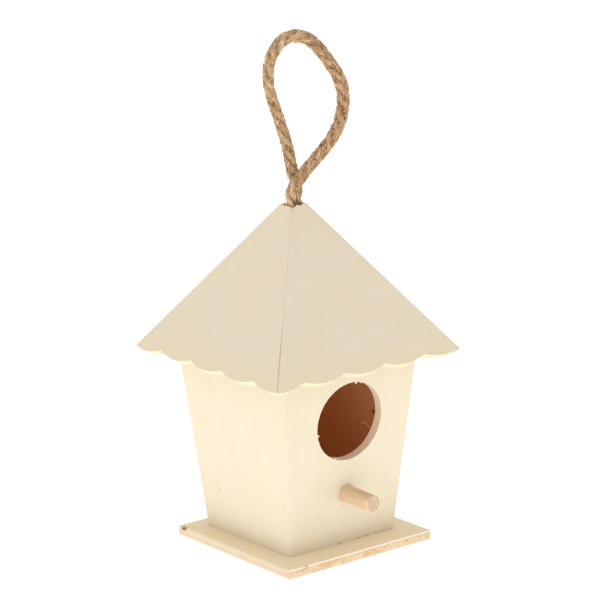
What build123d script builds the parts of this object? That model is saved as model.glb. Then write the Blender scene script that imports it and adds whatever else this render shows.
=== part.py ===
from build123d import *
import os
from math import atan2, cos, degrees, pi, radians, sin, tan

# A small plywood birdhouse with a four-sided roof and a jute hanging loop.
# Millimetres, +Z up. The origin lies under the middle of the roof, on the surface that the
# base plate stands on. The front wall, with the entrance hole, faces -Y.

# roof
roof_half = 40.4         # half the side of the square that the eaves enclose
eave_z = 68.1            # outer lower edge of the panels
apex_z = 123.9           # where the four outer faces would meet
# the tip is cut off unevenly, and the rope comes out of it
roof_top_z = {"front": 119.5, "right": 119.4, "back": 119.0, "left": 118.9}
rope_groove_z = 119.8    # a groove that the rope has worn in the front left hip
rope_groove_r = 1.3
roof_ply = 3.0
hip_rounding = 0.7
scallop_pitch = 17.3
scallop_depth = 1.8
scallop_shift = {"front": -2.1, "right": 0.9, "back": -0.8, "left": 0.6}
rope_hole_d = 7.0

# body: four mitred walls that lean outwards
wall_ply = 3.4
wall_low_half = 23.3     # half the outer width of the body on the base plate
wall_lean = 5.56         # degrees from the vertical
corner_rounding = 1.0

# base plate, set a little forward of the body
base_side = 63.0
base_ply = 3.45
base_forward = 1.9
base_edge_break = 0.2
veneer = 0.95            # face layer of the plywood, the depth of a chip in it

# front wall
hole_d = 27.8
hole_x = 0.4
hole_z = 47.9
hole_edge_break = 0.25
perch_d = 6.0
perch_bore_d = 6.1
perch_x = 0.4
perch_z = 21.8
perch_dip = 2.0          # degrees below the horizontal
perch_reach = 14.5       # in front of the wall
perch_inside = 5.0       # behind the wall's outer face
perch_edge_break = 0.35

# rope
rope_d = 4.0
loop_turn = -39.0        # the plane of the loop, in degrees about Z
loop_pivot_z = 122.0     # the loop bends here, just above the roof
knot_r = 5.3
knot_z = 108.6
neck_d = 6.2
neck_top_z = 119.6
tail_d = 3.6
tail_length = 9.0
tail_spread = 14.0       # degrees

# The loop's corners: across the loop, out of its plane, and height.
loop_route = [
    (-2.1, 0.0, 122.0), (-1.3, -0.3, 130.0), (-1.6, -0.5, 138.5), (-4.7, -0.4, 149.1),
    (-8.2, 0.0, 160.8), (-6.9, 0.1, 170.1), (-1.3, 0.0, 177.0), (6.9, -0.1, 175.9),
    (14.8, 0.1, 165.1), (17.9, 0.3, 157.9), (16.6, 0.5, 146.9), (10.7, 0.8, 138.0),
    (3.8, 0.6, 130.5), (2.1, 0.0, 122.0),
]

side_turn = {"front": 0, "right": 90, "back": 180, "left": 270}
far = 150.0              # longer than any part of the birdhouse

roof_slope = (apex_z - eave_z) / roof_half
roof_pitch = degrees(atan2(apex_z - eave_z, roof_half))
inner_apex_z = apex_z - roof_ply / cos(radians(roof_pitch))


def wall_half(z):
    return wall_low_half + (z - base_ply) * tan(radians(wall_lean))


def frustum(z_low, half_low, z_high, half_high):
    # a square frustum, as two crossed prisms with the same tapered outline
    outline = Polygon((-half_low, z_low), (half_low, z_low), (half_high, z_high),
                      (-half_high, z_high), align=None)
    prism = extrude(Plane.XZ * outline, far, both=True)
    return prism & (Rot(0, 0, 90) * prism)


def round_corners(solid, radius):
    rising = [edge for edge in solid.edges() if abs(edge.tangent_at(0).Z) > 0.3]
    return fillet(rising, radius)


def quarter(side):
    # the share of one side, between the two upright planes through the corners
    plan = Polygon((0, 0), (-far, -far), (far, -far), align=None)
    return Rot(0, 0, side_turn[side]) * extrude(plan, far)


def roof_volume(tip_z, low_z, high_z):
    # the solid under a roof surface whose faces would meet at tip_z
    return frustum(low_z, (tip_z - low_z) / roof_slope, high_z, (tip_z - high_z) / roof_slope)


def scallop_cutter(side):
    # everything below the wavy lower edge of one panel, square to the panel
    cusps = [scallop_shift[side] + (k + 0.5) * scallop_pitch for k in range(-4, 4)]
    lobes = [ThreePointArc((a, scallop_depth), ((a + b) / 2, 0), (b, scallop_depth))
             for a, b in zip(cusps, cusps[1:])]
    depth = 2 * scallop_pitch
    skirt = Polyline((cusps[-1], scallop_depth), (cusps[-1], -depth),
                     (cusps[0], -depth), (cusps[0], scallop_depth))
    pitch = radians(roof_pitch)
    panel_plane = Plane(origin=(0, -roof_half, eave_z), x_dir=(1, 0, 0),
                        z_dir=(0, -sin(pitch), cos(pitch)))
    cutter = extrude(panel_plane * make_face(Curve() + lobes + [skirt]), 6 * roof_ply, both=True)
    return Rot(0, 0, side_turn[side]) * cutter


def roof_panels():
    low_z = eave_z - 8
    shell = round_corners(roof_volume(apex_z, low_z, max(roof_top_z.values())), hip_rounding)
    shell -= roof_volume(inner_apex_z, low_z - 1, inner_apex_z - 0.5)
    shell -= Cylinder(rope_hole_d / 2, 2 * far)
    shell -= Pos(0, 0, rope_groove_z) * Rot(0, 0, 225) * Rot(0, 90, 0) * Cylinder(
        rope_groove_r, far, align=(Align.CENTER, Align.CENTER, Align.MIN))
    panels = {}
    for side, top_z in roof_top_z.items():
        above = Pos(0, 0, top_z) * Box(far, far, far, align=(Align.CENTER, Align.CENTER, Align.MIN))
        panels["roof_" + side] = (shell & quarter(side)) - above - scallop_cutter(side)
    return panels


def walls():
    top_z = apex_z - 20
    outer = round_corners(
        frustum(base_ply, wall_half(base_ply), top_z, wall_half(top_z)), corner_rounding)
    ply_across = wall_ply / cos(radians(wall_lean))
    low_z = base_ply - 1
    inner = frustum(low_z, wall_half(low_z) - ply_across, top_z, wall_half(top_z) - ply_across)
    shell = (outer - inner) & roof_volume(inner_apex_z, base_ply - 1, inner_apex_z - 0.5)
    parts = {side + "_wall": shell & quarter(side) for side in side_turn}
    parts["front_wall"] = drill_front(parts["front_wall"])
    return parts


def drill_front(wall):
    lean = radians(wall_lean)
    face = Plane(origin=(hole_x, -wall_half(hole_z), hole_z), x_dir=(1, 0, 0),
                 z_dir=(0, -cos(lean), -sin(lean)))
    wall -= face * Cylinder(hole_d / 2, 6 * wall_ply)
    rims = [edge for edge in wall.edges().filter_by(GeomType.CIRCLE)
            if abs(edge.radius - hole_d / 2) < 0.01]
    wall = fillet(rims, hole_edge_break)
    return wall - perch_plane() * Cylinder(perch_bore_d / 2, 6 * wall_ply)


def perch_plane():
    dip = radians(perch_dip)
    return Plane(origin=(perch_x, -wall_half(perch_z), perch_z), x_dir=(1, 0, 0),
                 z_dir=(0, -cos(dip), -sin(dip)))


def perch():
    length = perch_reach + perch_inside
    dowel = Pos(0, 0, (perch_reach - perch_inside) / 2) * Cylinder(perch_d / 2, length)
    dowel = chamfer(dowel.edges().filter_by(GeomType.CIRCLE), perch_edge_break)
    return perch_plane() * dowel


def base_plate():
    plate = Pos(0, -base_forward, base_ply / 2) * Box(base_side, base_side, base_ply)
    plate = chamfer(plate.edges(), base_edge_break)
    # veneer torn off the top: at the back of the left edge, and near the left of the front edge
    left_tear = Polygon((-1, -1.6), (0.5, -1.7), (0.9, -0.6), (1.6, -0.2), (0.8, 0.5),
                        (1.0, 1.2), (-1, 1.5), align=None)
    front_tear = Polygon((-0.9, -1), (1.0, -1), (0.8, 0.3), (0.2, 0.7), (-0.2, 0.3),
                         (-0.7, 0.4), align=None)
    left_spot = Pos(-base_side / 2, base_side / 2 - base_forward - 3.4, base_ply - veneer)
    front_spot = Pos(7.4 - base_side / 2, -base_side / 2 - base_forward, base_ply - veneer / 2)
    plate -= left_spot * extrude(left_tear, base_ply)
    return plate - front_spot * extrude(front_tear, base_ply)


def loop_frame():
    turn = radians(loop_turn)
    return Plane(origin=(0, 0, 0), x_dir=(cos(turn), sin(turn), 0), z_dir=(sin(turn), -cos(turn), 0))


def rope_loop():
    frame = loop_frame()
    points = [frame.from_local_coords(Vector(across, height, out))
              for across, out, height in loop_route]
    radii = []
    for before, here, after in zip(points, points[1:], points[2:]):
        turn = radians((here - before).get_angle(after - here))
        shorter = min((here - before).length, (after - here).length)
        radii.append(0.45 * shorter / tan(turn / 2))
    line = FilletPolyline(*points, radius=radii)
    tube = sweep(Plane(line @ 0, z_dir=line % 0) * Circle(rope_d / 2), line)
    print("loop radii", [round(radius, 1) for radius in radii])
    print("loop length %.1f, tube volume %.1f, section x length %.1f"
          % (line.length, tube.volume, pi * rope_d ** 2 / 4 * line.length))
    for end in (points[0], points[-1]):
        tube += Pos(*end) * Sphere(rope_d / 2)
    return tube


def rope_knot():
    knot = Pos(0, 0, knot_z) * Sphere(knot_r)
    for way in (-1, 1):
        lean = Pos(0, 0, knot_z) * Rot(0, 0, loop_turn) * Rot(0, 180 + way * tail_spread, 0)
        tail = Cylinder(tail_d / 2, knot_r + tail_length, align=(Align.CENTER, Align.CENTER, Align.MIN))
        knot += lean * tail
    return knot


def rope_neck():
    height = neck_top_z - knot_z
    neck = Pos(0, 0, knot_z) * Cylinder(neck_d / 2, height, align=(Align.CENTER, Align.CENTER, Align.MIN))
    return neck - Pos(0, 0, knot_z) * Sphere(knot_r)


nodes = {"base_plate": base_plate(), "perch": perch(), "rope_loop": rope_loop(),
         "rope_neck": rope_neck(), "rope_knot": rope_knot()}
nodes.update(walls())
nodes.update(roof_panels())

os.makedirs("parts", exist_ok=True)
for name, shape in nodes.items():
    export_step(shape, "parts/" + name + ".step")
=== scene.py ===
import random
from math import atan2, cos, pi, radians, sin, tan

import bmesh
import bpy
from mathutils import Matrix, Vector, noise
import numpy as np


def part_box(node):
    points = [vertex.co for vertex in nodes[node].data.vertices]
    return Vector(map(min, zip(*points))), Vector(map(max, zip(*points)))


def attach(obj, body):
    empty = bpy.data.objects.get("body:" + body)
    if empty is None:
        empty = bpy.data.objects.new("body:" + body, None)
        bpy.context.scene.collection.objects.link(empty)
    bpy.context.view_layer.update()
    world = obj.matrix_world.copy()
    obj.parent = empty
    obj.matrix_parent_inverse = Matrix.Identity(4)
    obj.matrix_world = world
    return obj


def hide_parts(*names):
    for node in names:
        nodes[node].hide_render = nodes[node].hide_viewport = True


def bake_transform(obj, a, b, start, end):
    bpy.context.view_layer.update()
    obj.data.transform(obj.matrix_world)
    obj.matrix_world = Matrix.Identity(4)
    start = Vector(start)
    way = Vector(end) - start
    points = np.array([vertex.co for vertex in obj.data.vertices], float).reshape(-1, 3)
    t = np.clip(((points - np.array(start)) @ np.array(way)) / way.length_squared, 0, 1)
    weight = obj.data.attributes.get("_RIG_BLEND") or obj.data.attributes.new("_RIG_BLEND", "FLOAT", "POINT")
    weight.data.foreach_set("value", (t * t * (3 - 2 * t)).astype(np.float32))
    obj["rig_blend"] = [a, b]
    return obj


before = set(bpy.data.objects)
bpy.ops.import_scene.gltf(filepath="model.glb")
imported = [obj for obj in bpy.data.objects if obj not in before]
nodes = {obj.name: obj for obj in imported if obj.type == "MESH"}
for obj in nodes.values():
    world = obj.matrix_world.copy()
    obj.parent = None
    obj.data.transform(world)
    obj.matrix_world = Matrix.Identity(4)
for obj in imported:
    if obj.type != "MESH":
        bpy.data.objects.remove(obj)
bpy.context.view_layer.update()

mm = 0.001
noise.seed_set(5)  # noise vectors start from the clock otherwise
baseLow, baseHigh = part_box("base_plate")

sideTurns = {"front": 0, "right": 90, "back": 180, "left": 270}

# sizes of the wooden house in millimetres, as it was cut
house = {
    "wallPly": 3.4, "wallLowHalf": 23.3, "wallLean": 5.56,
    "roofPly": 3.0, "eaveHalf": 40.4, "eaveHeight": 68.1, "apexHeight": 123.9,
    "basePly": (baseHigh.z - baseLow.z) / mm,
    "holeRadius": 13.9, "holeAcross": 0.4, "holeHeight": 47.9,
    "perchAcross": 0.4, "perchHeight": 21.8, "perchDip": 2.0, "perchReach": 14.5,
}
roofPitch = atan2(house["apexHeight"] - house["eaveHeight"], house["eaveHalf"])


def colour(hexText):
    # an sRGB hex colour as linear RGBA
    parts = [int(hexText[i:i + 2], 16) / 255 for i in (1, 3, 5)]
    return [p / 12.92 if p <= 0.04045 else ((p + 0.055) / 1.055) ** 2.4 for p in parts] + [1.0]


def addNode(tree, kind, settings={}, inputs={}):
    node = tree.nodes.new("ShaderNode" + kind)
    for name, value in settings.items():
        if name == "stops":
            marks = node.color_ramp.elements
            while len(marks) < len(value):
                marks.new(0.5)
            for mark, (place, shade) in zip(marks, value):
                mark.position, mark.color = place, shade
        else:
            setattr(node, name, value)
    for name, value in inputs.items():
        if isinstance(value, bpy.types.NodeSocket):
            tree.links.new(value, node.inputs[name])
        else:
            node.inputs[name].default_value = value
    return node


def newMaterial(name, **shader):
    made = bpy.data.materials.new(name)
    made.use_nodes = True
    surface = made.node_tree.nodes["Principled BSDF"]
    for socket, value in shader.items():
        surface.inputs[socket.replace("_", " ")].default_value = value
    return made, made.node_tree, surface


def meshFrom(name, shape):
    # the bmesh as a finished mesh
    mesh = bpy.data.meshes.new(name)
    shape.to_mesh(mesh)
    shape.free()
    return mesh


def meshFromCurve(name, curve):
    holder = bpy.data.objects.new(name, curve)
    mesh = bpy.data.meshes.new_from_object(holder)
    bpy.data.objects.remove(holder)
    bpy.data.curves.remove(curve)
    return mesh


def place(obj, body, slotName):
    bpy.context.scene.collection.objects.link(obj)
    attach(obj, body)
    return obj



def panelFrame(side, lean, foot):
    # the axes of a panel: across, up the face, outwards
    # lean is the angle of the face from the upright, outwards at the top where positive
    across, up = Vector((1, 0, 0)), Vector((0, -sin(lean), cos(lean)))
    turned = Matrix.Rotation(radians(sideTurns[side]), 4, "Z")
    axes = Matrix((across, up, across.cross(up))).transposed().to_4x4()
    return turned @ Matrix.Translation(Vector(foot) * mm) @ axes


def wallFrame(side):
    return panelFrame(side, radians(house["wallLean"]), (0, -house["wallLowHalf"], house["basePly"]))


def roofFrame(side):
    return panelFrame(side, roofPitch - pi / 2, (0, -house["eaveHalf"], house["eaveHeight"]))


def perchFrame():
    out = house["wallLowHalf"] + (house["perchHeight"] - house["basePly"]) * tan(radians(house["wallLean"]))
    dip = radians(house["perchDip"])
    root = Vector((house["perchAcross"], -out, house["perchHeight"])) * mm
    axis = Vector((0, -cos(dip), -sin(dip)))
    across = Vector((1, 0, 0))
    return Matrix.Translation(root) @ Matrix((across, axis.cross(across), axis)).transposed().to_4x4()



view = {"azimuth": -38.34, "elevation": 14.39, "roll": -1.16, "distance": 0.963, "lens": 164.5,
        "target": (0.0044, 0.0, 0.08236)}


def addCamera():
    azimuth, elevation, roll = (radians(view[k]) for k in ("azimuth", "elevation", "roll"))
    back = Vector((sin(azimuth) * cos(elevation), -cos(azimuth) * cos(elevation), sin(elevation)))
    right = Vector((0, 0, 1)).cross(back).normalized()
    up = back.cross(right)
    rolledRight = right * cos(roll) + up * sin(roll)
    rolledUp = up * cos(roll) - right * sin(roll)
    camera = bpy.data.objects.new("camera", bpy.data.cameras.new("camera"))
    camera.data.lens = view["lens"]
    axes = Matrix((rolledRight, rolledUp, back)).transposed().to_4x4()
    camera.matrix_world = Matrix.Translation(Vector(view["target"]) + back * view["distance"]) @ axes
    bpy.context.scene.collection.objects.link(camera)
    bpy.context.scene.camera = camera


studio = {"sky": 0.93, "floorShade": "#F4F4F4", "floorGlow": 0.99, "floorHalf": 4,
          "boxes": [  # place, power in watts, size in metres
              ((-1.6, -0.6, 0.30), 1.85, 1.2)]}


def addStudio():
    world = bpy.data.worlds.new("softbox room")
    bpy.context.scene.world = world
    world.use_nodes = True
    world.node_tree.nodes["Background"].inputs["Strength"].default_value = studio["sky"]
    world.node_tree.nodes["Background"].inputs["Color"].default_value = (1, 1, 1, 1)
    bpy.context.scene.view_settings.view_transform = "Standard"
    for number, (spot, power, size) in enumerate(studio["boxes"]):
        light = bpy.data.lights.new(f"softbox{number}", "AREA")
        light.energy, light.size = power, size
        holder = bpy.data.objects.new(f"softbox{number}", light)
        aim = Vector((0, 0, 0.07)) - Vector(spot)
        holder.matrix_world = Matrix.Translation(spot) @ aim.to_track_quat("-Z", "Y").to_matrix().to_4x4()
        bpy.context.scene.collection.objects.link(holder)
    shape = bmesh.new()
    bmesh.ops.create_grid(shape, x_segments=1, y_segments=1, size=studio["floorHalf"])
    floorMesh = meshFrom("floor", shape)
    floor = bpy.data.objects.new("floor", floorMesh)
    bpy.context.scene.collection.objects.link(floor)
    lit, _, surface = newMaterial("white acrylic sheet lit from below", Roughness=0.6,
                                  Emission_Strength=studio["floorGlow"])
    surface.inputs["Base Color"].default_value = colour(studio["floorShade"])
    surface.inputs["Emission Color"].default_value = (1, 1, 1, 1)
    floorMesh.materials.append(lit)



# Basswood-faced plywood, sanded and left raw: it scatters light evenly, so there is almost no
# gloss; the grain is a slight change of tone with short dark pores along it.
wood = {
    "faceLight": "#D9CEB7", "faceDark": "#D0C1A4", "streak": "#C1AC89",
    # inner is painted light, the bright orange glow inside the nest
    "core": "#FAE2C4", "coreDark": "#E8C4A0", "inner": "#FFC07F",
    "edgeLong": "#CFC1A6",
    # foot is painted shade, a warm darkening at the foot of the walls where they meet the base
    "sanded": "#D9CBAC", "foot": "#D0A274", "roughness": 0.72, "veneer": 0.5,
    "grainWidth": 0.55, "grainLength": 26.0, "bandWidth": 4.5, "poreWidth": 0.16, "poreLength": 2.4,
}


def woodCoordinates(tree, panel):
    # millimetres in the panel's own frame
    spot = addNode(tree, "TexCoord").outputs["Object"]
    turn = panel.to_euler()
    return addNode(tree, "Mapping", {"vector_type": "TEXTURE"}, {
        "Vector": spot, "Location": panel.translation, "Rotation": turn, "Scale": (mm, mm, mm)}).outputs[0]


def grainPattern(tree, local, along, width, length, detail, seed=0.0):
    # noise drawn out along the grain; along is 0 across the panel, 1 up it, 2 through it
    stretch = [1 / width] * 3
    stretch[along] = 1 / length
    shaped = addNode(tree, "VectorMath", {"operation": "MULTIPLY"}, {0: local, 1: stretch})
    moved = addNode(tree, "VectorMath", {"operation": "ADD"}, {0: shaped.outputs[0], 1: (seed, seed, seed)})
    return addNode(tree, "TexNoise", {}, {"Vector": moved.outputs[0], "Scale": 1.0, "Detail": detail,
                                          "Roughness": 0.55}).outputs["Fac"]


def faceColour(tree, local, along, seed, light, dark, streak):
    fine = grainPattern(tree, local, along, wood["grainWidth"], wood["grainLength"], 4.0, seed)
    band = grainPattern(tree, local, along, wood["bandWidth"], 8 * wood["bandWidth"], 2.0, seed + 7)
    cloud = addNode(tree, "TexNoise", {}, {"Vector": local, "Scale": 0.05, "Detail": 2.0}).outputs["Fac"]
    pores = grainPattern(tree, local, along, wood["poreWidth"], wood["poreLength"], 1.0, seed + 3)
    tone = addNode(tree, "MapRange", {}, {"Value": fine, "From Min": 0.32, "From Max": 0.72,
                                          "To Min": 0.0, "To Max": 0.14}).outputs[0]
    tone = addNode(tree, "Math", {"operation": "MULTIPLY_ADD"}, {0: band, 1: 0.45, 2: tone}).outputs[0]
    tone = addNode(tree, "Math", {"operation": "MULTIPLY_ADD"}, {0: cloud, 1: 0.35, 2: tone}).outputs[0]
    tone = addNode(tree, "Math", {"operation": "SUBTRACT", "use_clamp": True},
        {0: tone, 1: 0.25}).outputs[0]
    mixed = addNode(tree, "Mix", {"data_type": "RGBA"}, {0: tone, 6: light, 7: dark}).outputs[2]
    porous = addNode(tree, "MapRange", {}, {"Value": pores, "From Min": 0.66, "From Max": 0.76,
                                            "To Min": 0.0, "To Max": 0.28}).outputs[0]
    return addNode(tree, "Mix", {"data_type": "RGBA"},
        {0: porous, 6: mixed, 7: streak}).outputs[2], fine, porous


def addMark(tree, local, under, mark):
    # a soft-edged spot: centre across and up, half width and half height in mm, shade, strength
    across, up, halfWidth, halfHeight, shade, strength = mark
    moved = addNode(tree, "VectorMath", {"operation": "SUBTRACT"},
        {0: local, 1: (across, up, 0)}).outputs[0]
    wobble = addNode(tree, "TexNoise", {}, {"Vector": local, "Scale": 2.2, "Detail": 2.0}).outputs["Fac"]
    sized = addNode(tree, "VectorMath", {"operation": "MULTIPLY"},
                    {0: moved, 1: (1 / halfWidth, 1 / halfHeight, 0)}).outputs[0]
    reach = addNode(tree, "VectorMath", {"operation": "LENGTH"}, {0: sized}).outputs["Value"]
    ragged = addNode(tree, "Math", {"operation": "ADD"}, {0: reach, 1: wobble}).outputs[0]
    cover = addNode(tree, "MapRange", {"interpolation_type": "SMOOTHSTEP"}, {
        "Value": ragged, "From Min": 0.9, "From Max": 1.7, "To Min": strength, "To Max": 0.0}).outputs[0]
    return addNode(tree, "Mix", {"data_type": "RGBA"}, {0: cover, 6: under, 7: colour(shade)}).outputs[2]


def endGrain(tree, local, through, light, dark):
    # the cut ends of the core's fibres: a rough speckle, a little drawn out across the thickness
    coarse = addNode(tree, "VectorMath", {"operation": "MULTIPLY"}, {0: local, 1: through}).outputs[0]
    speckle = addNode(tree, "TexNoise", {}, {"Vector": coarse, "Scale": 1.0, "Detail": 5.0,
                                             "Roughness": 0.7}).outputs["Fac"]
    tone = addNode(tree, "MapRange", {}, {"Value": speckle, "From Min": 0.38, "From Max": 0.64}).outputs[0]
    return addNode(tree, "Mix", {"data_type": "RGBA"}, {0: tone, 6: light, 7: dark}).outputs[2], speckle


def finishWood(tree, surface, shade, heights, depthMm):
    # heights is a list of (pattern, weight); the relief is at most depthMm deep
    total = None
    for pattern, weight in heights:
        if total is None:
            total = addNode(tree, "Math", {"operation": "MULTIPLY"}, {0: pattern, 1: weight}).outputs[0]
        else:
            total = addNode(tree, "Math", {"operation": "MULTIPLY_ADD"},
                {0: pattern, 1: weight, 2: total}).outputs[0]
    relief = addNode(tree, "Bump", {}, {"Height": total, "Distance": depthMm * mm, "Strength": 0.7})
    tree.links.new(relief.outputs[0], surface.inputs["Normal"])
    tree.links.new(shade, surface.inputs["Base Color"])


def plyPanel(name, panel, along, ply, marks=(), seed=0.0, seam=None, edges="plain"):
    # a panel of raw plywood, with its plies where the cut edges show
    made, tree, surface = newMaterial(name, Roughness=wood["roughness"], IOR=1.5)
    surface.inputs["Specular IOR Level"].default_value = 0.25
    local = woodCoordinates(tree, panel)
    shade, fine, porous = faceColour(tree, local, along, seed, colour(wood["faceLight"]),
                                     colour(wood["faceDark"]), colour(wood["streak"]))
    for mark in marks:
        shade = addMark(tree, local, shade, mark)
    axes = addNode(tree, "SeparateXYZ", {}, {0: local})
    if edges == "pale":
        low = addNode(tree, "MapRange", {}, {"Value": axes.outputs[1], "From Min": 2.0, "From Max": 9.0,
                                             "To Min": 0.6, "To Max": 0.0}).outputs[0]
        shade = addNode(tree, "Mix", {"data_type": "RGBA"},
            {0: low, 6: shade, 7: colour(wood["sanded"])}).outputs[2]
    else:
        # painted shade: the foot of each wall is tinted a little darker and browner within 5 mm of the base
        foot = addNode(tree, "MapRange", {}, {"Value": axes.outputs[1], "From Min": 0.1, "From Max": 5.0,
                                              "To Min": 0.06, "To Max": 0.0}).outputs[0]
        shade = addNode(tree, "Mix", {"data_type": "RGBA"},
            {0: foot, 6: shade, 7: colour(wood["foot"])}).outputs[2]
    depth = addNode(tree, "Math", {"operation": "MULTIPLY"}, {0: axes.outputs[2], 1: -1.0}).outputs[0]
    coreShade, speckle = endGrain(tree, local, (2.2, 2.2, 3.0), colour(wood["core"]),
        colour(wood["coreDark"]))
    if edges == "pale":
        coreShade = addNode(tree, "Mix", {"data_type": "RGBA"}, {0: 0.75, 6: coreShade,
                                                                 7: colour(wood["edgeLong"])}).outputs[2]
    veneer = wood["veneer"]
    inCore = addNode(tree, "ValToRGB", {"stops": [
        (0.0, (0, 0, 0, 1)), (veneer / ply - 0.02, (0, 0, 0, 1)), (veneer / ply + 0.02, (1, 1, 1, 1))]},
        {0: addNode(tree, "Math", {"operation": "DIVIDE"}, {0: depth, 1: ply}).outputs[0]}).outputs[0]
    shade = addNode(tree, "Mix", {"data_type": "RGBA"}, {0: inCore, 6: shade, 7: coreShade}).outputs[2]
    # painted light: the panel's inner face inside the nest is painted a glowing orange
    shade = paintedInsideGlow(tree, shade, depth, ply - 0.04, 28.5)
    if seam:
        shade = addSeam(tree, shade, seam)
    finishWood(tree, surface, shade, [(fine, 0.3), (porous, -0.8), (speckle, 0.2)], 0.04)
    return made


def paintedInsideGlow(tree, under, depth, start, half):
    # painted light: the unsanded faces that enclose the nest get a bright orange, which stands in for the
    # warm glow of light inside it
    axes = addNode(tree, "SeparateXYZ", {}, {0: addNode(tree, "TexCoord").outputs["Object"]})
    sizes = [addNode(tree, "Math", {"operation": "ABSOLUTE"},
        {0: axes.outputs[k]}).outputs[0] for k in (0, 1)]
    reach = addNode(tree, "Math", {"operation": "MAXIMUM"}, {0: sizes[0], 1: sizes[1]}).outputs[0]
    central = addNode(tree, "Math", {"operation": "LESS_THAN"}, {0: reach, 1: half * mm}).outputs[0]
    deep = addNode(tree, "Math", {"operation": "GREATER_THAN"}, {0: depth, 1: start}).outputs[0]
    cover = addNode(tree, "Math", {"operation": "MULTIPLY"}, {0: central, 1: deep}).outputs[0]
    return addNode(tree, "Mix", {"data_type": "RGBA"},
        {0: cover, 6: under, 7: colour(wood["inner"])}).outputs[2]


def addSeam(tree, under, seam):
    # the mitre joint at the corners: a thin line of dried glue, open below seam["top"]
    spot = addNode(tree, "TexCoord").outputs["Object"]
    axes = addNode(tree, "SeparateXYZ", {}, {0: spot})
    sizes = [addNode(tree, "Math", {"operation": "ABSOLUTE"},
        {0: axes.outputs[k]}).outputs[0] for k in (0, 1)]
    gap = addNode(tree, "Math", {"operation": "SUBTRACT"}, {0: sizes[0], 1: sizes[1]}).outputs[0]
    gap = addNode(tree, "Math", {"operation": "ABSOLUTE"}, {0: gap}).outputs[0]
    jitter = addNode(tree, "TexNoise", {}, {"Vector": spot, "Scale": 160.0, "Detail": 3.0}).outputs["Fac"]
    limit = addNode(tree, "Math", {"operation": "MULTIPLY"},
        {0: jitter, 1: seam["width"] * mm * 2.2}).outputs[0]
    line = addNode(tree, "Math", {"operation": "LESS_THAN"}, {0: gap, 1: limit}).outputs[0]
    low = addNode(tree, "MapRange", {}, {"Value": axes.outputs[2], "From Min": seam["top"] * mm,
                                         "From Max": (seam["top"] + 6) * mm, "To Min": seam["strong"],
                                         "To Max": seam["faint"]}).outputs[0]
    cover = addNode(tree, "Math", {"operation": "MULTIPLY"}, {0: line, 1: low}).outputs[0]
    return addNode(tree, "Mix", {"data_type": "RGBA"},
        {0: cover, 6: under, 7: colour(seam["shade"])}).outputs[2]


# marks on the faces: centre across and up, half width, half height, shade, strength
faceMarks = {
    "base": [(-30.9, 28.9, 0.9, 0.6, "#967346", 0.8), (-30.2, 27.4, 0.5, 0.4, "#82623D", 0.7),
             (-29.4, 25.6, 0.3, 0.3, "#8F6F42", 0.6), (-30.9, 27.0, 0.5, 0.5, "#CF9A7A", 0.6)],
    "roof front": [(39.5, 1.5, 0.6, 0.5, "#8A6848", 0.8)],
    "left": [(-13.6, 15.7, 0.32, 0.32, "#634C30", 0.9)],
    "front": [(-10.6, 11.4, 1.6, 1.2, "#C9B691", 0.3), (-0.3, 13.9, 0.16, 0.7, "#806642", 0.7)],
}


def finishHouse():
    wallSeam = {"width": 0.10, "top": 0.0, "strong": 0.25, "faint": 0.25, "shade": "#BFA882"}
    roofSeam = {"width": 0.16, "top": 82.0, "strong": 0.65, "faint": 0.06, "shade": "#9C8964"}
    for number, side in enumerate(sideTurns):
        wall = plyPanel(side + " wall, raw plywood, grain upright", wallFrame(side), 1, house["wallPly"],
                        marks=faceMarks.get(side, ()), seed=3.1 * number, seam=wallSeam)
        nodes[side + "_wall"].data.materials.clear()
        nodes[side + "_wall"].data.materials.append(wall)
        roof = plyPanel(side + " roof, raw plywood, grain along the eave", roofFrame(side), 0,
                        house["roofPly"], marks=faceMarks.get("roof " + side, ()), seed=20 + 2.7 * number,
                        seam=roofSeam, edges="pale")
        nodes["roof_" + side].data.materials.clear()
        nodes["roof_" + side].data.materials.append(roof)
    nodes["base_plate"].data.materials.clear()
    nodes["base_plate"].data.materials.append(basePly())
    nodes["perch"].data.materials.clear()
    nodes["perch"].data.materials.append(perchWood())


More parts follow.
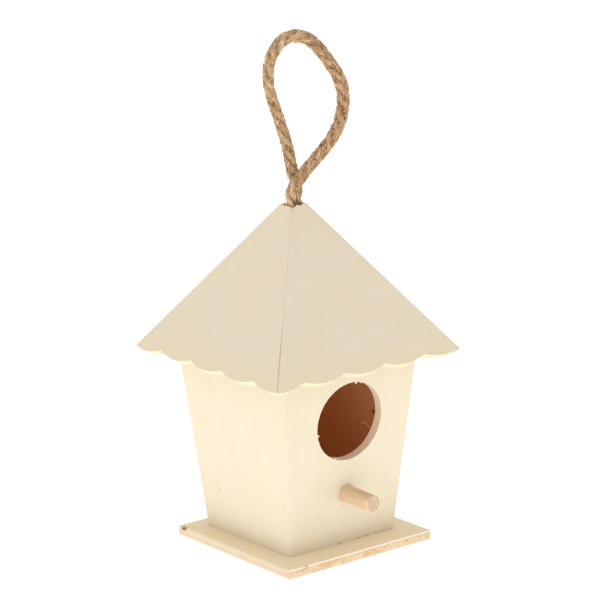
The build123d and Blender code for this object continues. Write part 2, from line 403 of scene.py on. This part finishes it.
def basePly():
    # plywood with its core's grain from front to back: the cut ends show in front and behind
    made, tree, surface = newMaterial("base, raw plywood", Roughness=wood["roughness"], IOR=1.5)
    surface.inputs["Specular IOR Level"].default_value = 0.25
    middle = (baseLow + baseHigh) / 2
    middle.z = baseHigh.z
    local = woodCoordinates(tree, Matrix.Translation(middle))
    shade, fine, porous = faceColour(tree, local, 1, 51.0, colour("#EBDCBE"), colour("#E3CFAA"),
        colour("#CDB48C"))
    axes = addNode(tree, "SeparateXYZ", {}, {0: local})
    depth = addNode(tree, "Math", {"operation": "DIVIDE"},
        {0: axes.outputs[2], 1: -house["basePly"]}).outputs[0]
    half = (baseHigh.y - baseLow.y) / 2 / mm
    size = addNode(tree, "Math", {"operation": "ABSOLUTE"}, {0: axes.outputs[1]}).outputs[0]
    endSide = addNode(tree, "Math", {"operation": "GREATER_THAN"}, {0: size, 1: half - 0.12}).outputs[0]
    longSide = addNode(tree, "ValToRGB", {"stops": [
        (0.0, colour(wood["edgeLong"])), (0.52, colour(wood["edgeLong"])), (0.60, colour("#CFB296")),
        (0.74, colour("#D4B69C")), (0.84, colour("#DBCBB6")), (1.0, colour("#DAC9B4"))]},
        {0: depth}).outputs[0]
    core, speckle = endGrain(tree, local, (1.1, 1.1, 1.9), colour("#D6BB96"), colour("#B88F66"))
    blocks = addNode(tree, "TexNoise", {}, {"Vector": local, "Scale": 0.22, "Detail": 1.0}).outputs["Fac"]
    blocks = addNode(tree, "MapRange", {}, {"Value": blocks, "From Min": 0.4, "From Max": 0.6,
                                            "To Min": 0.0, "To Max": 0.5}).outputs[0]
    core = addNode(tree, "Mix", {"data_type": "RGBA"},
        {0: blocks, 6: core, 7: colour("#DBCBB0")}).outputs[2]
    veneers = addNode(tree, "ValToRGB", {"stops": [
        (0.0, (0, 0, 0, 1)), (0.17, (0, 0, 0, 1)), (0.2, (1, 1, 1, 1)), (1.0, (1, 1, 1, 1))]},
        {0: depth}).outputs[0]
    pale = addNode(tree, "MapRange", {}, {"Value": depth, "From Min": 0.6, "From Max": 0.95,
                                          "To Min": 0.0, "To Max": 0.4}).outputs[0]
    core = addNode(tree, "Mix", {"data_type": "RGBA"}, {0: pale, 6: core, 7: colour("#DCCDB2")}).outputs[2]
    glue = addNode(tree, "ValToRGB", {"stops": [
        (0.17, (0, 0, 0, 1)), (0.2, (0.4, 0.4, 0.4, 1)), (0.26, (0.3, 0.3, 0.3, 1)), (0.3, (0, 0, 0, 1))]},
        {0: depth}).outputs[0]
    cut = addNode(tree, "Mix", {"data_type": "RGBA"},
        {0: veneers, 6: colour("#E2D8C1"), 7: core}).outputs[2]
    cut = addNode(tree, "Mix", {"data_type": "RGBA"}, {0: glue, 6: cut, 7: colour("#9C7A4F")}).outputs[2]
    edge = addNode(tree, "Mix", {"data_type": "RGBA"}, {0: endSide, 6: longSide, 7: cut}).outputs[2]
    below = addNode(tree, "Math", {"operation": "GREATER_THAN"}, {0: depth, 1: 0.05}).outputs[0]
    above = addNode(tree, "Math", {"operation": "LESS_THAN"}, {0: depth, 1: 0.985}).outputs[0]
    onEdge = addNode(tree, "Math", {"operation": "MULTIPLY"}, {0: below, 1: above}).outputs[0]
    shade = addNode(tree, "Mix", {"data_type": "RGBA"}, {0: onEdge, 6: shade, 7: edge}).outputs[2]
    marked = shade
    for mark in faceMarks["base"]:
        marked = addMark(tree, local, marked, mark)
    inTop = addNode(tree, "Math", {"operation": "LESS_THAN"}, {0: depth, 1: 0.3}).outputs[0]
    shade = addNode(tree, "Mix", {"data_type": "RGBA"}, {0: inTop, 6: shade, 7: marked}).outputs[2]
    above = addNode(tree, "Math", {"operation": "LESS_THAN"}, {0: depth, 1: 0.05}).outputs[0]
    # painted light: the base's top inside the walls is painted the same glowing orange as the nest's walls
    shade = paintedInsideGlow(tree, shade, above, 0.5, house["wallLowHalf"] - house["wallPly"])
    finishWood(tree, surface, shade, [(fine, 0.3), (porous, -0.8), (speckle, 0.5)], 0.05)
    return made


def perchWood():
    # a turned birch dowel: fine straight grain, and a porous cut end
    made, tree, surface = newMaterial("perch, birch dowel", Roughness=0.6, IOR=1.5)
    surface.inputs["Specular IOR Level"].default_value = 0.3
    local = woodCoordinates(tree, perchFrame())
    fine = grainPattern(tree, local, 2, 0.45, 9.0, 4.0, 81.0)
    wide = grainPattern(tree, local, 2, 1.6, 30.0, 2.0, 85.0)
    tone = addNode(tree, "Math", {"operation": "MULTIPLY_ADD"}, {0: wide, 1: 0.5, 2: fine}).outputs[0]
    tone = addNode(tree, "MapRange", {}, {"Value": tone, "From Min": 0.5, "From Max": 1.0}).outputs[0]
    side = addNode(tree, "Mix", {"data_type": "RGBA"},
        {0: tone, 6: colour("#DEC6A6"), 7: colour("#CDAD87")}).outputs[2]
    rays = grainPattern(tree, local, 1, 0.28, 2.6, 3.0, 91.0)
    rings = addNode(tree, "MapRange", {}, {"Value": rays, "From Min": 0.46, "From Max": 0.66}).outputs[0]
    end = addNode(tree, "Mix", {"data_type": "RGBA"},
        {0: rings, 6: colour("#C6B295"), 7: colour("#A9896A")}).outputs[2]
    axes = addNode(tree, "SeparateXYZ", {}, {0: local})
    atEnd = addNode(tree, "Math", {"operation": "GREATER_THAN"},
                    {0: axes.outputs[2], 1: house["perchReach"] - 0.05}).outputs[0]
    shade = addNode(tree, "Mix", {"data_type": "RGBA"}, {0: atEnd, 6: side, 7: end}).outputs[2]
    finishWood(tree, surface, shade, [(fine, 0.5), (rings, -0.5)], 0.05)
    return made



rope = {"diameter": 4.0, "strands": 3, "lay": 15.0, "around": 22, "step": 0.32,
        "strandRadius": 0.54, "orbit": 0.53, "bareSteps": 28, "exit": 119.0,
        "bendBelow": 1.5, "bendAbove": 2.5,
        "turn": -39.0, "pivot": 122.0, "twist": -0.42,
        # dark is painted shade for the creases between the strands
        "light": "#E3C7A2", "middle": "#946C41", "dark": "#5C3A1F", "rust": "#96603A",
        "hairs": (1700, 3300), "hairRadius": 0.055, "seed": 11,
        "stain": (9.6, 2.2, 139.6), "stainSize": 1.3,
        # thickness along the rope: millimetres from its start, share of the full thickness;
        # the legs are pressed together in the hole, and the left leg is stretched thinner
        "thickness": [(0, 0.88), (10, 0.88), (15, 0.94), (24, 0.90), (48, 0.86), (62, 0.97), (70, 1.0),
                      (122, 1.0), (134, 0.88), (150, 0.88)]}

# The rope's line: across the loop, out of its plane towards the front, and height, in mm.
ropeRoute = [
    (0.9, -1.2, 114.0), (0.9, -1.1, 119.0), (1.2, -1.1, 122.6), (0.9, -1.9, 126.6), (-0.6, -1.5, 131.0),
    (-1.7, -0.9, 139.0), (-4.7, -0.4, 149.1), (-8.2, 0.0, 160.8), (-6.9, 0.1, 170.1), (-1.3, 0.0, 177.0),
    (6.9, -0.1, 175.9), (14.8, 0.1, 165.1), (17.9, 0.3, 157.9), (16.6, 0.5, 146.9), (10.9, 0.9, 138.0),
    (5.9, 1.3, 132.8), (3.0, 1.8, 129.0), (0.0, 1.9, 125.4), (-1.1, 1.0, 122.2), (-1.0, 1.1, 118.5),
    (-1.0, 1.2, 114.0),
]


def loopToFrame(across, out, height):
    turn = radians(rope["turn"])
    return Vector((across * cos(turn) + out * sin(turn), across * sin(turn) - out * cos(turn), height)) * mm


def smoothLine(name, points):
    # the points of the smooth curve that the rope follows
    curve = bpy.data.curves.new(name, "CURVE")
    curve.dimensions = "3D"
    curve.resolution_u = 24
    spline = curve.splines.new("NURBS")
    spline.points.add(len(points) - 1)
    for point, spot in zip(spline.points, points):
        point.co = (*spot, 1.0)
    spline.order_u = 3
    spline.use_endpoint_u = True
    mesh = meshFromCurve(name, curve)
    line = [v.co.copy() for v in mesh.vertices]
    bpy.data.meshes.remove(mesh)
    return line


def evenly(line, step):
    # the same line, with points a step apart
    out, left = [line[0]], step
    for a, b in zip(line, line[1:]):
        while (b - a).length >= left:
            a = a + (b - a).normalized() * left
            out.append(a)
            left = step
        left -= (b - a).length
    return out


def carriedFrames(line):
    # two axes across the line, carried along it without twist
    side = Vector((0.3, 0.2, 1)).cross(line[1] - line[0]).normalized()
    out = []
    for k, spot in enumerate(line):
        along = (line[min(k + 1, len(line) - 1)] - line[max(k - 1, 0)]).normalized()
        side = (side - along * side.dot(along)).normalized()
        out.append((spot, along, side, along.cross(side)))
    return out


def ropeStrand(shape, frames, number, squeeze):
    # one strand: a grid rolled up round its own twisted line, with its length along the rope and its round in
    # the grain attribute
    count = len(frames) - 1
    full = rope["diameter"] / 2 * mm
    strandRadius, orbit = full * rope["strandRadius"], full * rope["orbit"]
    before = set(shape.verts)
    bmesh.ops.create_grid(shape, x_segments=count, y_segments=rope["around"], size=1)
    new = [v for v in shape.verts if v not in before]
    crease, grainLayer = shape.verts.layers.float["crown"], shape.verts.layers.float_vector["grain"]
    for vert in new:
        k = round((vert.co.x + 1) / 2 * count)
        spot, along, side, other = frames[k]
        travelled = k * rope["step"]
        phase = -2 * pi * travelled / rope["lay"] + 2 * pi * number / rope["strands"]
        phase += 0.35 * noise.noise(Vector((travelled * 0.09, number * 7.0, 1.5)))
        outward = side * cos(phase) + other * sin(phase)
        slim = squeeze(k / count)
        swell = 1 + 0.10 * noise.noise(Vector((travelled * 0.22, number * 13.0, 0)))
        centre = spot + outward * orbit * slim
        angle = vert.co.y * pi
        sideways = along.cross(outward)
        direction = outward * cos(angle) + sideways * sin(angle)
        # the strand's own twist turns the fibres back along the rope
        wound = angle + travelled * rope["twist"]
        straight = Vector((cos(wound), sin(wound), travelled)) + Vector((number * 9, 0, 0))
        fibres = noise.noise(Vector((straight.x * 2.2, straight.y * 2.2, travelled * 0.3)))
        lumps = noise.noise(Vector((straight.x * 6.0, straight.y * 6.0, travelled * 0.8)))
        radius = strandRadius * slim * swell * (1.07 + 0.13 * fibres + 0.15 * lumps)
        vert.co = centre + direction * radius
        # crown is 1 on the top of a strand and -1 in the creases; the material paints shade into the creases
        # from it
        vert[crease] = cos(angle) + 0.25 * fibres
        vert[grainLayer] = straight


def ropeMesh(name, line, squeeze):
    shape = bmesh.new()
    shape.verts.layers.float.new("crown")
    shape.verts.layers.float_vector.new("grain")
    frames = carriedFrames(line)
    for number in range(rope["strands"]):
        ropeStrand(shape, frames, number, squeeze)
    bmesh.ops.remove_doubles(shape, verts=shape.verts, dist=0.0000005)
    openEdges = [e for e in shape.edges if e.is_boundary]
    bmesh.ops.holes_fill(shape, edges=openEdges, sides=0)
    bmesh.ops.recalc_face_normals(shape, faces=shape.faces)
    for face in shape.faces:
        face.smooth = True
    return meshFrom(name, shape)


def ropeHairs(name, frames, squeeze, standing, lying, seed):
    # loose fibres as thin tubes: some stand off the rope, more lie along it
    rng = random.Random(seed)
    curve = bpy.data.curves.new(name, "CURVE")
    curve.dimensions = "3D"
    curve.bevel_depth = rope["hairRadius"] * mm
    curve.bevel_resolution = 0
    curve.use_fill_caps = True
    for number in range(standing + lying):
        # none starts in the hole in the roof
        index = rng.randrange(rope["bareSteps"], len(frames) - rope["bareSteps"])
        spot, along, side, other = frames[index]
        angle = rng.uniform(0, 2 * pi)
        outward = side * cos(angle) + other * sin(angle)
        sideways = along.cross(outward)
        lift = rng.uniform(0.25, 1.3) if number < standing else rng.uniform(0.0, 0.12)
        length = (rng.uniform(1.0, 2.3) ** 1.3 if number < standing else rng.uniform(1.6, 3.6)) * mm
        way = rng.choice((-1, 1))
        path = along * way + outward * lift + sideways * rng.uniform(-0.6, 0.6)
        bend = Vector([rng.uniform(-1, 1) for _ in range(3)]) * (0.5 if number < standing else 0.25)
        spline = curve.splines.new("POLY")
        spline.points.add(4)
        reach = rope["diameter"] / 2 * mm * squeeze(index / len(frames)) * rng.uniform(1.0, 1.10)
        for k, point in enumerate(spline.points):
            part = k / 4
            travelled = (path + bend * part).normalized() * length * part
            # a lying fibre follows the round of the rope
            across = outward * reach + travelled - along * travelled.dot(along)
            if number >= standing:
                across = across.normalized() * reach
            point.co = (*(spot + along * travelled.dot(along) + across), 1.0)
            point.radius = 1.0 - 0.5 * part
    return meshFromCurve(name, curve)


def juteMaterial():
    # twisted jute: dull, golden-brown bast fibres, paler where they catch the light
    made, tree, surface = newMaterial("twisted jute cord", Roughness=0.85, IOR=1.5)
    surface.inputs["Specular IOR Level"].default_value = 0.15
    surface.inputs["Sheen Weight"].default_value = 0.15
    surface.inputs["Sheen Roughness"].default_value = 0.5
    crown = addNode(tree, "Attribute", {"attribute_name": "crown"}).outputs["Fac"]
    straight = addNode(tree, "Attribute", {"attribute_name": "grain"}).outputs["Vector"]
    # bundles of fibres 0.3 mm wide and 3 mm long, in the strand's own straightened space of millimetres
    drawn = addNode(tree, "VectorMath", {"operation": "MULTIPLY"},
        {0: straight, 1: (3.2, 3.2, 0.33)}).outputs[0]
    fibre = addNode(tree, "TexNoise", {},
        {"Vector": drawn, "Scale": 1.0, "Detail": 4.0, "Roughness": 0.65}).outputs["Fac"]
    spot = addNode(tree, "TexCoord").outputs["Object"]
    patch = addNode(tree, "TexNoise", {}, {"Vector": spot, "Scale": 180.0, "Detail": 3.0}).outputs["Fac"]
    tone = addNode(tree, "MapRange", {}, {"Value": fibre, "From Min": 0.41, "From Max": 0.61}).outputs[0]
    tone = addNode(tree, "Math", {"operation": "MULTIPLY_ADD"}, {0: patch, 1: 0.45, 2: tone}).outputs[0]
    tone = addNode(tree, "Math", {"operation": "SUBTRACT", "use_clamp": True},
        {0: tone, 1: 0.17}).outputs[0]
    shade = addNode(tree, "Mix", {"data_type": "RGBA"},
        {0: tone, 6: colour(rope["middle"]), 7: colour(rope["light"])}).outputs[2]
    stain = addNode(tree, "TexNoise", {},
        {"Vector": spot, "Scale": 95.0, "Detail": 4.0, "Roughness": 0.7}).outputs["Fac"]
    stained = addNode(tree, "MapRange", {},
        {"Value": stain, "From Min": 0.52, "From Max": 0.68, "To Min": 0.0,
                                             "To Max": 0.6}).outputs[0]
    shade = addNode(tree, "Mix", {"data_type": "RGBA"},
        {0: stained, 6: shade, 7: colour(rope["rust"])}).outputs[2]
    # painted shade: the creases between the strands are darkened towards the dark brown, less where the patch
    # noise is low
    creaseShade = addNode(tree, "MapRange", {},
        {"Value": crown, "From Min": -0.4, "From Max": 0.12, "To Min": 0.85,
                                            "To Max": 0.0}).outputs[0]
    filled = addNode(tree, "MapRange", {},
        {"Value": patch, "From Min": 0.38, "From Max": 0.62, "To Min": 0.35}).outputs[0]
    creaseShade = addNode(tree, "Math", {"operation": "MULTIPLY"}, {0: creaseShade, 1: filled}).outputs[0]
    shade = addNode(tree, "Mix", {"data_type": "RGBA"},
        {0: creaseShade, 6: shade, 7: colour(rope["dark"])}).outputs[2]
    # the loop is tinted towards the rust colour across its width, most on its +across side, and there is a
    # small grey-brown stain
    side = addNode(tree, "VectorMath", {"operation": "DOT_PRODUCT"},
        {0: spot, 1: loopToFrame(1, 0, 0) / mm}).outputs["Value"]
    sideTint = addNode(tree, "MapRange", {},
        {"Value": side, "From Min": -0.004, "From Max": 0.014, "To Min": 0.0,
                                             "To Max": 0.34}).outputs[0]
    shade = addNode(tree, "Mix", {"data_type": "RGBA"},
        {0: sideTint, 6: shade, 7: colour(rope["rust"])}).outputs[2]
    away = addNode(tree, "VectorMath", {"operation": "DISTANCE"},
        {0: spot, 1: loopToFrame(*rope["stain"])}).outputs["Value"]
    away = addNode(tree, "Math", {"operation": "MULTIPLY_ADD"}, {0: patch, 1: 0.0012, 2: away}).outputs[0]
    stainCover = addNode(tree, "MapRange", {"interpolation_type": "SMOOTHSTEP"}, {
        "Value": away, "From Min": 0.7 * rope["stainSize"] * mm, "From Max": 1.7 * rope["stainSize"] * mm,
        "To Min": 0.75, "To Max": 0.0}).outputs[0]
    shade = addNode(tree, "Mix", {"data_type": "RGBA"},
        {0: stainCover, 6: shade, 7: colour("#4E3E2C")}).outputs[2]
    finishWood(tree, surface, shade, [(fibre, 1.0)], 0.3)
    return made


def addRope():
    jute = juteMaterial()
    line = evenly(smoothLine("rope line", [loopToFrame(*p) for p in ropeRoute]), rope["step"] * mm)
    total = len(line) * rope["step"] * mm

    def squeeze(share):
        here = share * total / mm
        for (start, thick), (end, thickEnd) in zip(rope["thickness"], rope["thickness"][1:]):
            if here <= end:
                return thick + (thickEnd - thick) * (here - start) / (end - start)
        return thickEnd

    strands = bpy.data.objects.new("juteRope", ropeMesh("juteRope", line, squeeze))
    strands.data.materials.append(jute)
    bpy.context.scene.collection.objects.link(strands)
    hairs = ropeHairs("juteFibres", carriedFrames(line), squeeze, *rope["hairs"], rope["seed"])
    loose = bpy.data.objects.new("juteFibres", hairs)
    loose.data.materials.append(hairMaterial())
    bpy.context.scene.collection.objects.link(loose)
    for piece in (strands, loose):
        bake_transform(piece, "hanger", "loop", start=(0, 0, (rope["pivot"] - rope["bendBelow"]) * mm),
                 end=(0, 0, (rope["pivot"] + rope["bendAbove"]) * mm))
    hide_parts("rope_loop", "rope_neck")
    knot = addKnot(jute)
    print("rope", round(total / mm, 1), "mm")


def hairMaterial():
    # single jute fibres, pale and brown side by side, which draw fine lines on the rope
    made, tree, surface = newMaterial("loose jute fibre", Roughness=0.7, IOR=1.5)
    spot = addNode(tree, "TexCoord").outputs["Object"]
    patch = addNode(tree, "TexNoise", {}, {"Vector": spot, "Scale": 1300.0, "Detail": 2.0}).outputs["Fac"]
    tone = addNode(tree, "MapRange", {}, {"Value": patch, "From Min": 0.36, "From Max": 0.64}).outputs[0]
    shade = addNode(tree, "Mix", {"data_type": "RGBA"},
        {0: tone, 6: colour("#7C5229"), 7: colour("#F0D2A4")}).outputs[2]
    tree.links.new(shade, surface.inputs["Base Color"])
    return made


# the knot under the roof: heights and radii in millimetres
knotShape = {"height": 108.6, "turns": 2.0, "start": 0.4, "ring": 3.0, "wave": 0.4, "rise": 2.6, "points": 15,
             "thickness": 0.88, "legs": [(1.2, -0.8, 114.2), (1.0, -0.6, 112.4)],
             "tail": [(-1.6, 0.4, 103.6), (-2.4, 0.4, 99.5), (-2.9, 0.2, 96.0)],
             "otherTail": [(0.8, -0.3, 107.0), (1.6, -0.4, 103.6), (2.4, -0.4, 99.5), (2.9, -0.2, 96.0)]}


def addKnot(jute):
    # the rope wound round itself under the roof, with two tails that hang from it
    centre = Vector((0, 0, knotShape["height"])) * mm
    points = [loopToFrame(*p) for p in knotShape["legs"]]
    for k in range(knotShape["points"]):
        share = k / (knotShape["points"] - 1)
        angle = share * knotShape["turns"] * 2 * pi + knotShape["start"]
        ring = knotShape["ring"] * mm + knotShape["wave"] * mm * sin(3 * angle)
        rise = (knotShape["rise"] - 2 * knotShape["rise"] * share) * mm
        points.append(centre + Vector((ring * cos(angle), ring * sin(angle), rise)))
    points += [loopToFrame(*p) for p in knotShape["tail"]]
    line = evenly(smoothLine("knot line", points), rope["step"] * mm)
    otherTail = [loopToFrame(*p) for p in knotShape["otherTail"]]
    otherTail = evenly(smoothLine("tail line", otherTail), rope["step"] * mm)
    knotMesh = ropeMesh("juteKnot", line, lambda _: knotShape["thickness"])
    tailMesh = ropeMesh("juteTail", otherTail, lambda _: knotShape["thickness"])
    shape = bmesh.new()
    for mesh in (knotMesh, tailMesh):
        shape.from_mesh(mesh)
    shape.to_mesh(knotMesh)
    shape.free()
    bpy.data.meshes.remove(tailMesh)
    knot = bpy.data.objects.new("juteKnot", knotMesh)
    knot.data.materials.append(jute)
    place(knot, "hanger", "jute_rope")
    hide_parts("rope_knot")
    return knot


def plainMaterial(name, shade, roughness):
    made, _, surface = newMaterial(name, Roughness=roughness, IOR=1.5)
    surface.inputs["Base Color"].default_value = colour(shade)
    return made


def addSpecks():
    # brown crumbs of dried glue along the foot of the front wall
    crumbs = {"count": 34, "from": -4.0, "to": 22.0, "small": 0.10, "large": 0.26, "seed": 5}
    rng = random.Random(crumbs["seed"])
    shape = bmesh.new()
    for _ in range(crumbs["count"]):
        size = rng.uniform(crumbs["small"], crumbs["large"]) * rng.uniform(0.6, 1.0)
        across = crumbs["from"] + (crumbs["to"] - crumbs["from"]) * rng.random() ** 0.7
        spot = Vector((across, -house["wallLowHalf"] - size * 0.6, house["basePly"] + size * 0.3)) * mm
        squash = Matrix.Diagonal((rng.uniform(0.9, 2.2), 1, rng.uniform(0.5, 0.9), 1))
        bmesh.ops.create_icosphere(shape, subdivisions=1, radius=size * mm,
                                   matrix=Matrix.Translation(spot) @ squash)
    for vert in shape.verts:
        vert.co += noise.noise_vector(vert.co * 3000) * 0.05 * mm
    mesh = meshFrom("glueCrumbs", shape)
    mesh.materials.append(plainMaterial("dried wood glue with dust", "#AB8962", 0.6))
    place(bpy.data.objects.new("glueCrumbs", mesh), "house", "wall_plywood")


def addSplinters():
    # torn fibres left at the rim of the entrance hole: angle round the hole, length, width
    rim = {"splinters": [(81, 0.75, 0.9), (72, 0.4, 0.5), (192, 0.8, 0.9), (203, 0.4, 0.4), (248, 0.4, 0.9),
                         (256, 0.3, 0.6), (262, 0.2, 0.4), (300, 0.25, 0.5), (318, 0.25, 0.6)],
                         "depth": 0.7}
    frontWall = wallFrame("front")
    up = (house["holeHeight"] - house["basePly"]) / cos(radians(house["wallLean"]))
    middle = Vector((house["holeAcross"], up, 0))
    shape = bmesh.new()
    for angle, length, width in rim["splinters"]:
        turn = radians(angle)
        inwards, sideways = Vector((-cos(turn), -sin(turn), 0)), Vector((-sin(turn), cos(turn), 0))
        root = middle - inwards * (house["holeRadius"] + 0.1)
        corners = [root + sideways * width * side / 2 + Vector((0, 0, deep))
                   for deep in (-0.15, -rim["depth"]) for side in (-1, 1)]
        corners += [root + inwards * (length + 0.1) + sideways * width * 0.2 * side + Vector((0, 0, -0.25))
                    for side in (-1, 1)]
        bmesh.ops.convex_hull(shape, input=[shape.verts.new(frontWall @ (c * mm)) for c in corners])
    bmesh.ops.recalc_face_normals(shape, faces=shape.faces)
    mesh = meshFrom("rimSplinters", shape)
    mesh.materials.append(plainMaterial("torn face veneer", "#DFCDB3", 0.8))
    place(bpy.data.objects.new("rimSplinters", mesh), "house", "wall_plywood")

    # one long fibre curls in from the inner rim, near a dark crumb
    curl = [(-27, 0.0, -3.3), (-26, 1.5, -3.0), (-21, 2.8, -3.2), (-20, 4.0, -3.5), (-22, 4.8, -3.9)]
    curve = bpy.data.curves.new("rimFibre", "CURVE")
    curve.dimensions = "3D"
    curve.bevel_depth, curve.bevel_resolution = 0.075 * mm, 1
    curve.use_fill_caps = True
    spline = curve.splines.new("NURBS")
    spline.points.add(len(curl) - 1)
    for point, (angle, inwards, deep) in zip(spline.points, curl):
        reach = house["holeRadius"] - inwards
        spot = middle + Vector((reach * cos(radians(angle)), reach * sin(radians(angle)), deep))
        point.co = (*(frontWall @ (spot * mm)), 1.0)
    spline.order_u = 3
    spline.use_endpoint_u = True
    fibreMesh = meshFromCurve("rimFibre", curve)
    fibreMesh.materials.append(plainMaterial("loose wood fibre", "#AE7E56", 0.7))
    place(bpy.data.objects.new("rimFibre", fibreMesh), "house", "wall_plywood")
    shape = bmesh.new()
    crumb = {"angle": -1, "inwards": 0.5, "deep": 3.3, "radius": 0.55,
             "stretch": (0.7, 1.0, 1.5, 1), "rough": 0.16}
    turn, reach = radians(crumb["angle"]), house["holeRadius"] - crumb["inwards"]
    edge = middle + Vector((cos(turn), sin(turn), 0)) * reach + Vector((0, 0, -crumb["deep"]))
    squash = Matrix.Translation(frontWall @ (edge * mm)) @ Matrix.Diagonal(crumb["stretch"])
    bmesh.ops.create_icosphere(shape, subdivisions=2, radius=crumb["radius"] * mm, matrix=squash)
    for vert in shape.verts:
        vert.co += noise.noise_vector(vert.co * 1500) * crumb["rough"] * mm
    mesh = meshFrom("rimCrumb", shape)
    mesh.materials.append(plainMaterial("dark bark", "#54200E", 0.8))
    place(bpy.data.objects.new("rimCrumb", mesh), "house", "wall_plywood")


addCamera()
addStudio()
print("camera and light ready")
addRope()
finishHouse()
addSpecks()
addSplinters()
print("wood finished")
